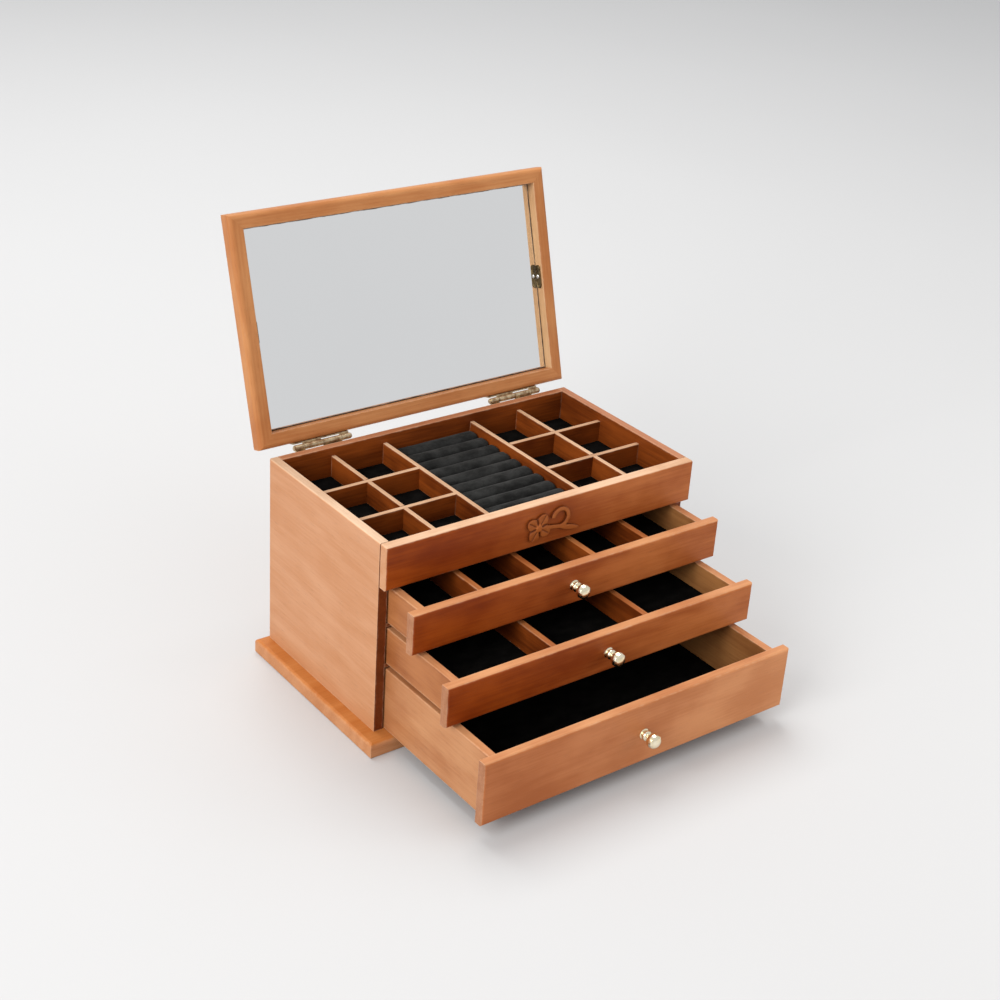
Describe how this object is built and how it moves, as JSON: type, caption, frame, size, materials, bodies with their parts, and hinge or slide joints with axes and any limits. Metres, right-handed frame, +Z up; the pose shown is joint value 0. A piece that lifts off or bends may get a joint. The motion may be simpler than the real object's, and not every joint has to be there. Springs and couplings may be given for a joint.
{
  "type": "jewelry box",
  "caption": "Wooden jewelry box with a hinged mirror lid, a divided top tray with velvet ring rolls, and velvet-lined drawers with small brass knobs.",
  "frame": {"origin": "centre of the plinth's flat underside", "axes": "+Z up; -Y is the front with the drawers; +X is to the right of someone facing the drawers"},
  "size_m": [0.3234, 0.3918, 0.3616],
  "materials": {
    "case_wood": "satin lacquered orange-brown wood",
    "front_wood": "satin lacquered reddish-brown wood",
    "inner_wood": "thinly lacquered orange-brown wood",
    "lid_wood": "satin lacquered orange-brown wood",
    "black_velvet": "short black velvet pile",
    "charcoal_velvet": "charcoal velvet pile",
    "polished_brass": "polished pale brass",
    "hinge_brass": "brass plate",
    "aged_brass": "dark antique brass",
    "steel": "zinc plated",
    "mirror": "plain silvered glass"
  },
  "bodies": {
    "case": {"base_plinth": "case_wood", "left_side_panel": "case_wood", "right_side_panel": "case_wood", "back_panel": "case_wood", "front_apron": "front_wood", "carved_flower": "front_wood", "tray_floor": "inner_wood", "upper_shelf": "inner_wood", "lower_shelf": "inner_wood", "tray_long_divider_left": "inner_wood", "tray_long_divider_right": "inner_wood", "tray_column_divider_left": "inner_wood", "tray_column_divider_right": "inner_wood", "tray_cross_dividers_left": "inner_wood", "tray_cross_dividers_right": "inner_wood", "tray_liners_left": "black_velvet", "tray_liners_right": "black_velvet", "ring_roll_board": "charcoal_velvet", "ring_rolls": "charcoal_velvet", "hinge_case_leaf_left": "hinge_brass", "hinge_case_leaf_right": "hinge_brass", "hinge_pins": "hinge_brass", "case_hinge_screws": "hinge_brass"},
    "lid": {"lid_back_rail": "lid_wood", "lid_front_rail": "lid_wood", "lid_left_rail": "lid_wood", "lid_right_rail": "lid_wood", "lid_top_panel": "lid_wood", "mirror_glass": "mirror", "mirror_clips": "aged_brass", "mirror_clip_screws": "aged_brass", "hinge_lid_leaf_left": "hinge_brass", "hinge_lid_leaf_right": "hinge_brass", "lid_hinge_screws": "hinge_brass"},
    "drawer_1": {"drawer_1_front": "front_wood", "drawer_1_left_side": "inner_wood", "drawer_1_right_side": "inner_wood", "drawer_1_back": "inner_wood", "drawer_1_bottom": "inner_wood", "drawer_1_liner": "black_velvet", "drawer_1_knob": "polished_brass", "drawer_1_knob_screw": "steel", "drawer_1_dividers": "inner_wood"},
    "drawer_2": {"drawer_2_front": "front_wood", "drawer_2_left_side": "inner_wood", "drawer_2_right_side": "inner_wood", "drawer_2_back": "inner_wood", "drawer_2_bottom": "inner_wood", "drawer_2_liner": "black_velvet", "drawer_2_knob": "polished_brass", "drawer_2_knob_screw": "steel", "drawer_2_dividers": "inner_wood"},
    "drawer_3": {"drawer_3_front": "front_wood", "drawer_3_left_side": "inner_wood", "drawer_3_right_side": "inner_wood", "drawer_3_back": "inner_wood", "drawer_3_bottom": "inner_wood", "drawer_3_liner": "black_velvet", "drawer_3_knob": "polished_brass", "drawer_3_knob_screw": "steel"}
  },
  "joints": [
    {"name": "lid_hinge", "type": "hinge", "parent": "case", "child": "lid", "pos_m": [0, 0.09252, 0.17855], "axis": [1, 0, 0], "range_deg": [0, 106]},
    {"name": "drawer_1_slide", "type": "slide", "parent": "case", "child": "drawer_1", "axis": [0, -1, 0], "range_m": [-0.0373, 0.1027]},
    {"name": "drawer_2_slide", "type": "slide", "parent": "case", "child": "drawer_2", "axis": [0, -1, 0], "range_m": [-0.0841, 0.0559]},
    {"name": "drawer_3_slide", "type": "slide", "parent": "case", "child": "drawer_3", "axis": [0, -1, 0], "range_m": [-0.1327, 0.0073]}
  ]
}
